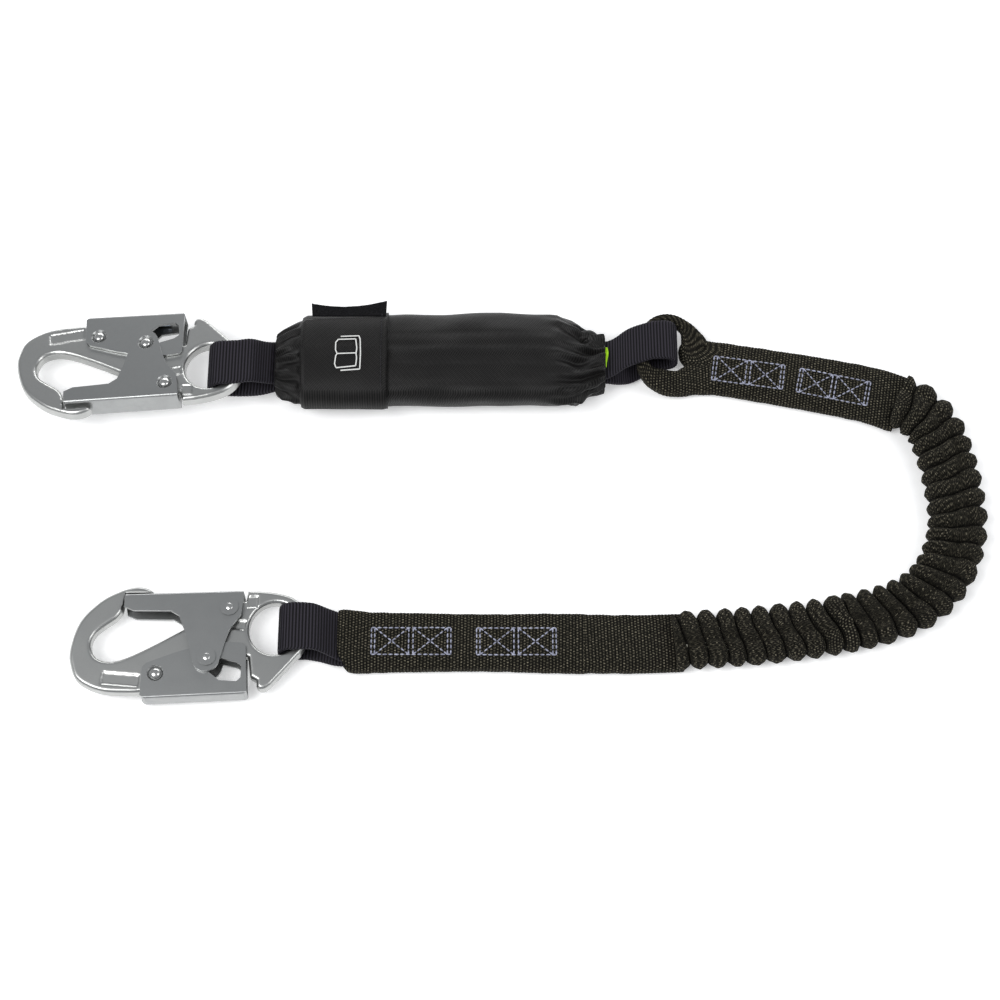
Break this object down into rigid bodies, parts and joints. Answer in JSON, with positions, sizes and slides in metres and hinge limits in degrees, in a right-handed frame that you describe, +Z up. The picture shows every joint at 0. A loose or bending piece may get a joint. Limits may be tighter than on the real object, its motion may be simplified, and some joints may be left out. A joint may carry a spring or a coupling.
{
  "type": "shock absorbing lanyard",
  "caption": "Single-leg shock absorbing lanyard lying flat: locking snap hooks, webbing, an energy absorber pack with label flap, linked loops and a gathered elastic leg.",
  "frame": {"origin": "on the floor under the middle of the whole lanyard's box", "axes": "+X from the hooks towards the gathered bend, along the pack; +Y towards the pack side; +Z up from the floor it lies on"},
  "size_m": [0.5627, 0.2458, 0.0336],
  "materials": {
    "zinc_steel": "zinc plated forging and pressed sheet, fine satin grain, brighter along worn edges",
    "rivet_steel": "smooth domed rivet heads",
    "spring_steel": "drawn spring wire",
    "black_webbing": "near-black cross-ribbed nylon webbing",
    "ballistic_nylon": "near-black ballistic nylon with a twill weave",
    "jacket_weave": "dark olive and black tubular jacket, coarse weave with tan flecks",
    "elastic": "off-white elastic",
    "tear_webbing": "undyed tear webbing",
    "shrink_film": "smoke-grey shrink film",
    "label_pages": "blank white label pages",
    "tag_green": "fluorescent yellow-green tag",
    "stitch_thread": "pale lavender-grey bonded thread",
    "hook_and_loop": "black hook-and-loop strip"
  },
  "bodies": {
    "energy_pack": {"pack_cover": "ballistic_nylon", "pack_left_hem_elastic": "elastic", "pack_right_hem_elastic": "elastic", "energy_tear_webbing": "tear_webbing", "backup_strap": "black_webbing", "absorber_film_sleeve": "shrink_film", "label_band": "ballistic_nylon", "label_pages": "label_pages", "inspection_tag": "tag_green", "hook_a_webbing_loop": "black_webbing", "link_webbing_loop": "black_webbing"},
    "label_flap": {"label_flap": "ballistic_nylon", "flap_fastener_strip": "hook_and_loop"},
    "stretch_leg": {"jacket_link_loop": "jacket_weave", "upper_jacket": "jacket_weave", "elastic_core_upper": "elastic", "gathered_jacket_arc": "jacket_weave", "elastic_core_arc": "elastic", "box_stitch_1": "stitch_thread", "box_stitch_2": "stitch_thread", "gathered_jacket_run": "jacket_weave", "elastic_core_run": "elastic"},
    "lower_leg": {"lower_jacket_end": "jacket_weave", "elastic_core_lower": "elastic", "lower_sleeve": "jacket_weave", "box_stitch_3": "stitch_thread", "box_stitch_4": "stitch_thread", "hook_b_webbing_loop": "black_webbing"},
    "hook_a": {"hook_a_frame": "zinc_steel", "hook_a_gate_pivot": "rivet_steel", "hook_a_lever_pivot": "rivet_steel"},
    "hook_a_gate": {"hook_a_gate": "zinc_steel", "hook_a_lock_pin": "rivet_steel", "hook_a_gate_spring": "spring_steel"},
    "hook_a_lever": {"hook_a_lock_lever": "zinc_steel", "hook_a_lever_spring": "spring_steel"},
    "hook_b": {"hook_b_frame": "zinc_steel", "hook_b_gate_pivot": "rivet_steel", "hook_b_lever_pivot": "rivet_steel"},
    "hook_b_gate": {"hook_b_gate": "zinc_steel", "hook_b_lock_pin": "rivet_steel", "hook_b_gate_spring": "spring_steel"},
    "hook_b_lever": {"hook_b_lock_lever": "zinc_steel", "hook_b_lever_spring": "spring_steel"}
  },
  "joints": [
    {"name": "hook_a_swing", "type": "hinge", "parent": "energy_pack", "child": "hook_a", "pos_m": [-0.1497, 0.08038, 0.02369], "axis": [-0.0877, 0.9864, -0.139], "range_deg": [-8, 4]},
    {"name": "hook_a_gate_open", "type": "hinge", "parent": "hook_a", "child": "hook_a_gate", "pos_m": [-0.19138, 0.06542, 0.02297], "axis": [0.0649, -0.1336, -0.9889], "range_deg": [0, 20], "stiffness_Nm_per_rad": 0.6, "springref_deg": -20.05},
    {"name": "hook_a_lever_squeeze", "type": "hinge", "parent": "hook_a", "child": "hook_a_lever", "pos_m": [-0.23332, 0.10078, 0.01544], "axis": [0.0649, -0.1336, -0.9889], "range_deg": [0, 7], "stiffness_Nm_per_rad": 0.5, "springref_deg": -17.19},
    {"name": "hook_b_swing", "type": "hinge", "parent": "lower_leg", "child": "hook_b", "pos_m": [-0.1059, -0.08085, 0.0097], "axis": [0.0175, 0.9998, 0], "range_deg": [-8, 8]},
    {"name": "hook_b_gate_open", "type": "hinge", "parent": "hook_b", "child": "hook_b_gate", "pos_m": [-0.1486, -0.0691, 0.0097], "axis": [0, 0, 1], "range_deg": [0, 20], "stiffness_Nm_per_rad": 0.6, "springref_deg": -20.05},
    {"name": "hook_b_lever_squeeze", "type": "hinge", "parent": "hook_b", "child": "hook_b_lever", "pos_m": [-0.18799, -0.10802, 0.0097], "axis": [0, 0, 1], "range_deg": [0, 7], "stiffness_Nm_per_rad": 0.5, "springref_deg": -17.19},
    {"name": "label_flap_open", "type": "hinge", "parent": "energy_pack", "child": "label_flap", "pos_m": [-0.08825, 0.05615, 0.016], "axis": [1, 0, 0], "range_deg": [0, 115]},
    {"name": "leg_swing", "type": "hinge", "parent": "energy_pack", "child": "stretch_leg", "pos_m": [0.096, 0.09815, 0.01], "axis": [0, 0, 1], "range_deg": [-8, 6]},
    {"name": "leg_stretch", "type": "slide", "parent": "stretch_leg", "child": "lower_leg", "axis": [-1, 0, 0], "range_m": [0, 0.18], "stiffness_N_per_m": 60, "deforming": ["gathered_jacket_run", "elastic_core_run"]}
  ],
  "couplings": [
    {"joint": "hook_a_lever_squeeze", "follows": "hook_a_gate_open", "ratio": 0.35},
    {"joint": "hook_b_lever_squeeze", "follows": "hook_b_gate_open", "ratio": 0.35}
  ]
}
